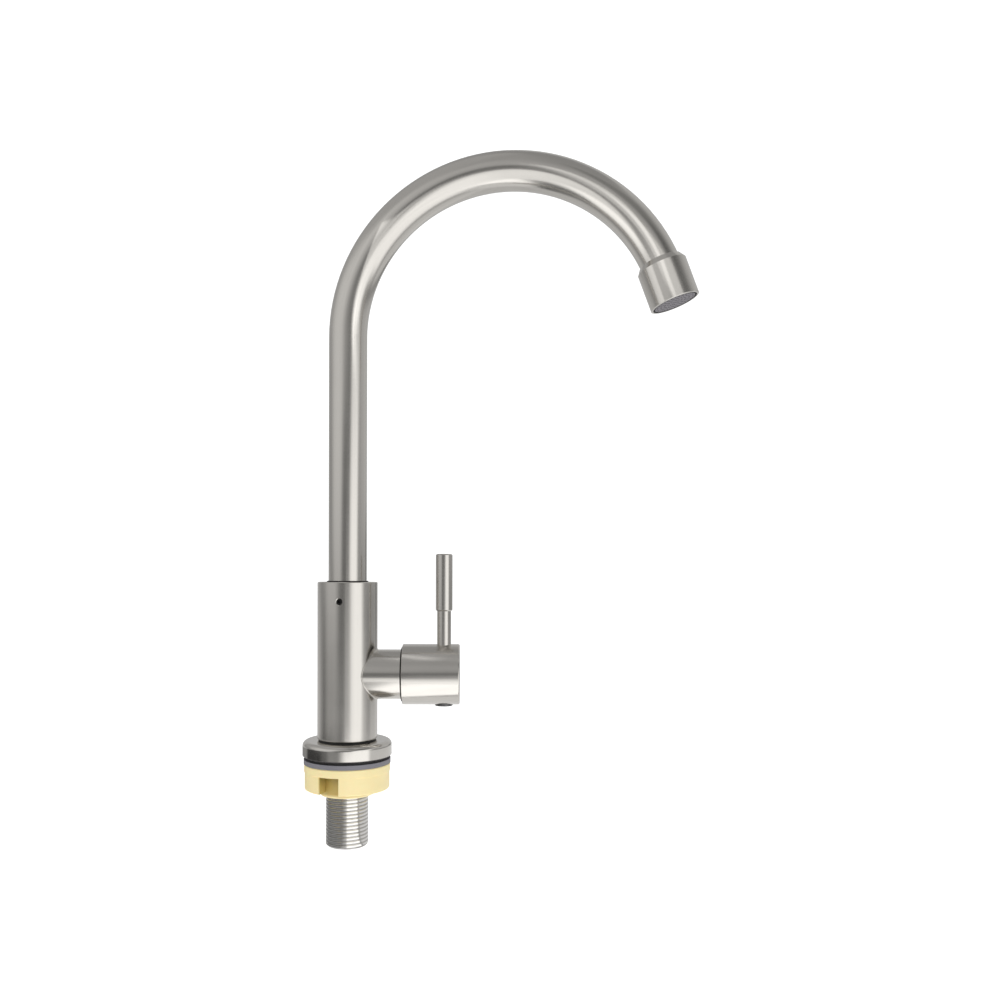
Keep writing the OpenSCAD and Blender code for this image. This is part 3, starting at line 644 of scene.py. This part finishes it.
def floor():
    """A plain white floor under the shank's end."""
    mesh = bmesh.new()
    bmesh.ops.create_grid(mesh, x_segments=1, y_segments=1, size=FLOOR_SIZE)
    ground = solid_piece("floor", mesh)
    ground.location = (0, 0, FLOOR_Z)
    finish = Finish("white_paper", Base_Color=tone(0.9, 0.9, 0.9), Roughness=0.9,
                    Emission_Color=tone(1.0, 1.0, 1.0), Emission_Strength=0.75)
    ground.data.materials.append(finish.material)
    ground.visible_glossy = False


def glowing(name, piece, brightness_at):
    """Makes a piece of the studio glow in the steel alone, by a rule that goes by bearing."""
    finish = Finish(name, Base_Color=tone(0, 0, 0), Roughness=1.0, Emission_Strength=1.0)
    x, y, z = finish.split(finish.place)
    bearing = bearing_of(x, y)
    ripples = finish.noise(finish.join(bearing / RIPPLE_WIDTH, z * RIPPLES_UP, 0), 1.0)
    level = brightness_at(bearing) * (1 + (ripples - 0.5) * RIPPLE_CONTRAST)
    finish.set("Emission Color", finish.join(level, level, level))
    piece.data.materials.append(finish.material)
    piece.visible_camera = False
    piece.visible_diffuse = False
    piece.visible_shadow = False


def round_screen(name, inner, outer, low, high, brightness_at):
    """A screen all round the shank: flat where low is high, and upright where inner is outer."""
    mesh = bmesh.new()
    turns = [2 * math.pi * side / SCREEN_SIDES for side in range(SCREEN_SIDES)]
    near, far = ([mesh.verts.new((radius * math.sin(turn), radius * math.cos(turn), z)) for turn in turns]
                 for radius, z in ((inner, low), (outer, high)))
    for side in range(SCREEN_SIDES):
        after = (side + 1) % SCREEN_SIDES
        mesh.faces.new((near[side], near[after], far[after], far[side]))
    glowing(name, solid_piece(name, mesh), brightness_at)


def paper_light(bearing):
    """Brightness of the paper by the shank: in shadow to the left, under the soft box to the right."""
    light = laid_over(0.22, 0.6, bearing.step(-20, 0))
    light = laid_over(light, 1.7, bearing.step(0, 10))
    light = laid_over(light, 0.4, bearing.step(60, 64))
    return laid_over(light, 0.85, bearing.step(68, 74)) * bearing.step(-178, -150)


def low_screen_light(bearing):
    """Brightness of the low screen that the flange mirrors: dark to the left, bright at the front."""
    light = laid_over(0.3, 0.05, bearing.step(-116, -104))
    light = laid_over(light, 0.16, bearing.step(-66, -50))
    light = laid_over(light, 0.34, bearing.step(-48, -34))
    light = laid_over(light, 1.45, bearing.step(-18, 8))
    return laid_over(light, 0.78, bearing.step(56, 66))


def lamp(name, place, target, width, tall, power):
    """An oblong lamp at a place, turned to a target."""
    light = bpy.data.lights.new(name, "AREA")
    light.shape = "RECTANGLE"
    light.size = width
    light.size_y = tall
    light.energy = power
    holder = bpy.data.objects.new(name, light)
    holder.location = place
    holder.rotation_euler = (Vector(target) - Vector(place)).to_track_quat("-Z", "Y").to_euler()
    bpy.context.scene.collection.objects.link(holder)
    return holder


def soft_light(name, place, target, size, power):
    """A square lamp that the steel doesn't mirror."""
    lamp(name, place, target, size, size, power).visible_glossy = False


def mirrored_lamp(name, around, bearing, height, width, tall, brightness):
    """An upright lamp that only the steel mirrors, at a bearing and a height from a place on the spout."""
    angle = math.radians(bearing)
    facing = around + Vector((0, 0, height))
    place = facing + Vector((math.sin(angle), -math.cos(angle), 0)) * LAMP_DISTANCE
    holder = lamp(name, place, facing, width, tall, brightness * math.pi * width * tall)
    holder.visible_camera = False
    holder.visible_diffuse = False


camera()
surroundings()
floor()
round_screen("paper_sheet", 11 * MM, 150 * MM, PAPER_Z, PAPER_Z, paper_light)
round_screen("low_screen", 160 * MM, 160 * MM, PAPER_Z, LOW_SCREEN_TOP, low_screen_light)
mirrored_lamp("arc_front", ARC_PLACE, bearing=-10, height=0.02, width=0.07, tall=0.09, brightness=0.5)
mirrored_lamp("outlet_left", OUTLET_PLACE, bearing=-72, height=-0.01, width=0.078, tall=0.1, brightness=0.55)
mirrored_lamp("outlet_front", OUTLET_PLACE, bearing=3, height=0.043, width=0.125, tall=0.07, brightness=0.45)
soft_light("front_lamp", place=(0.3, -0.9, 0.5), target=(0.0, 0.0, 0.0), size=0.6, power=1.6)
soft_light("top_lamp", place=(-0.3, -0.1, 1.1), target=(0.05, 0.0, 0.1), size=0.8, power=1.5)
bpy.context.scene.view_settings.view_transform = "Standard"
